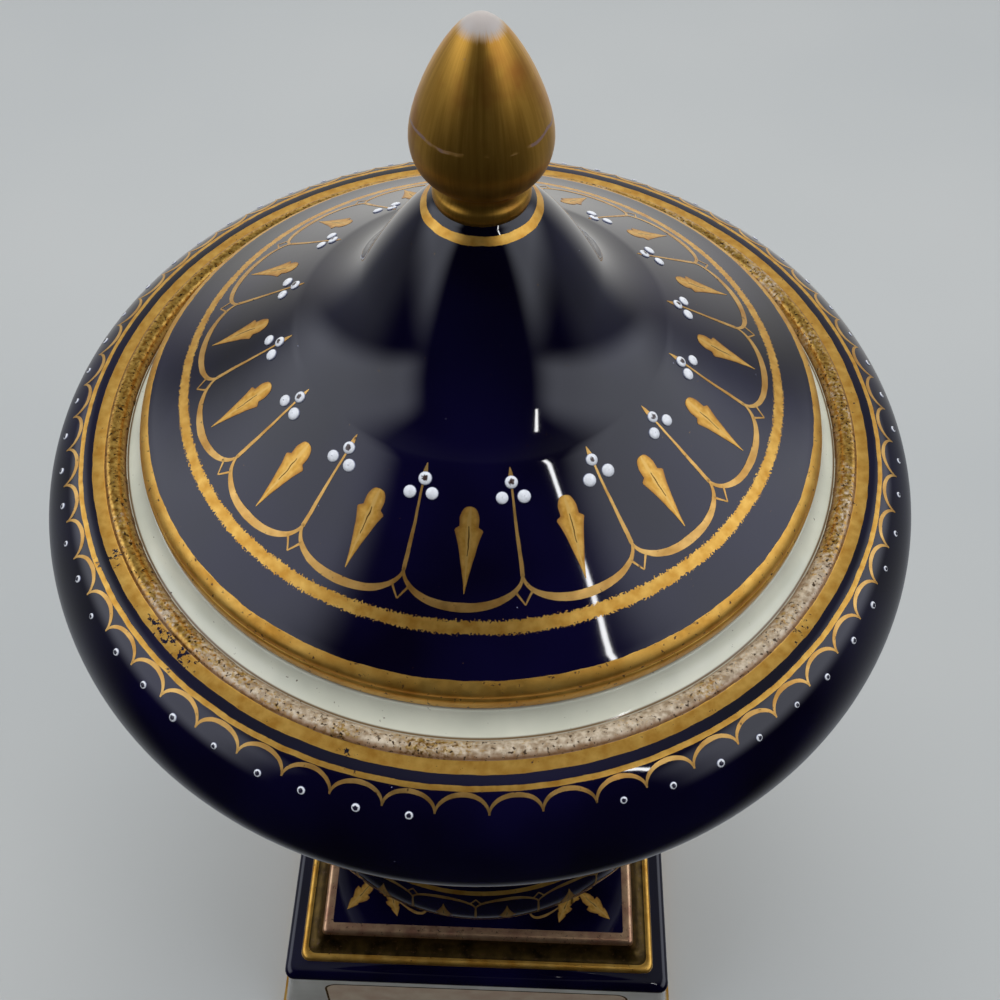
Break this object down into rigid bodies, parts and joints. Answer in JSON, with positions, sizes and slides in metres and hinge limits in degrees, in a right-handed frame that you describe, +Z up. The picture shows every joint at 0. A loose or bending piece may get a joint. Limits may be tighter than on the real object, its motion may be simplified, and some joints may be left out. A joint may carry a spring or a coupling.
{
  "type": "mantel urn",
  "caption": "Lidded bell-shaped mantel urn with a wide rolled shoulder, bulb, stem and foot on a square stepped plinth, cobalt glaze with gilding.",
  "frame": {"origin": "centre of the plinth's underside, on the surface the urn stands on", "axes": "+Z up along the urn's turned axis, X and Y square to the plinth's sides, -Y towards the front"},
  "size_m": [0.2208, 0.2208, 0.4363],
  "materials": {
    "plinth_porcelain": "cobalt glaze with gilt mouldings over a pale block",
    "urn_porcelain": "cobalt glaze with a gilt band, worn gilt bead, white ledge and enamel dots",
    "lid_porcelain": "cobalt glaze with gilt arches, leaves and rings, white enamel dots and a burnished gilt finial"
  },
  "bodies": {
    "root": {"plinth": "plinth_porcelain", "urn_body": "urn_porcelain", "lid": "lid_porcelain"}
  },
  "joints": []
}
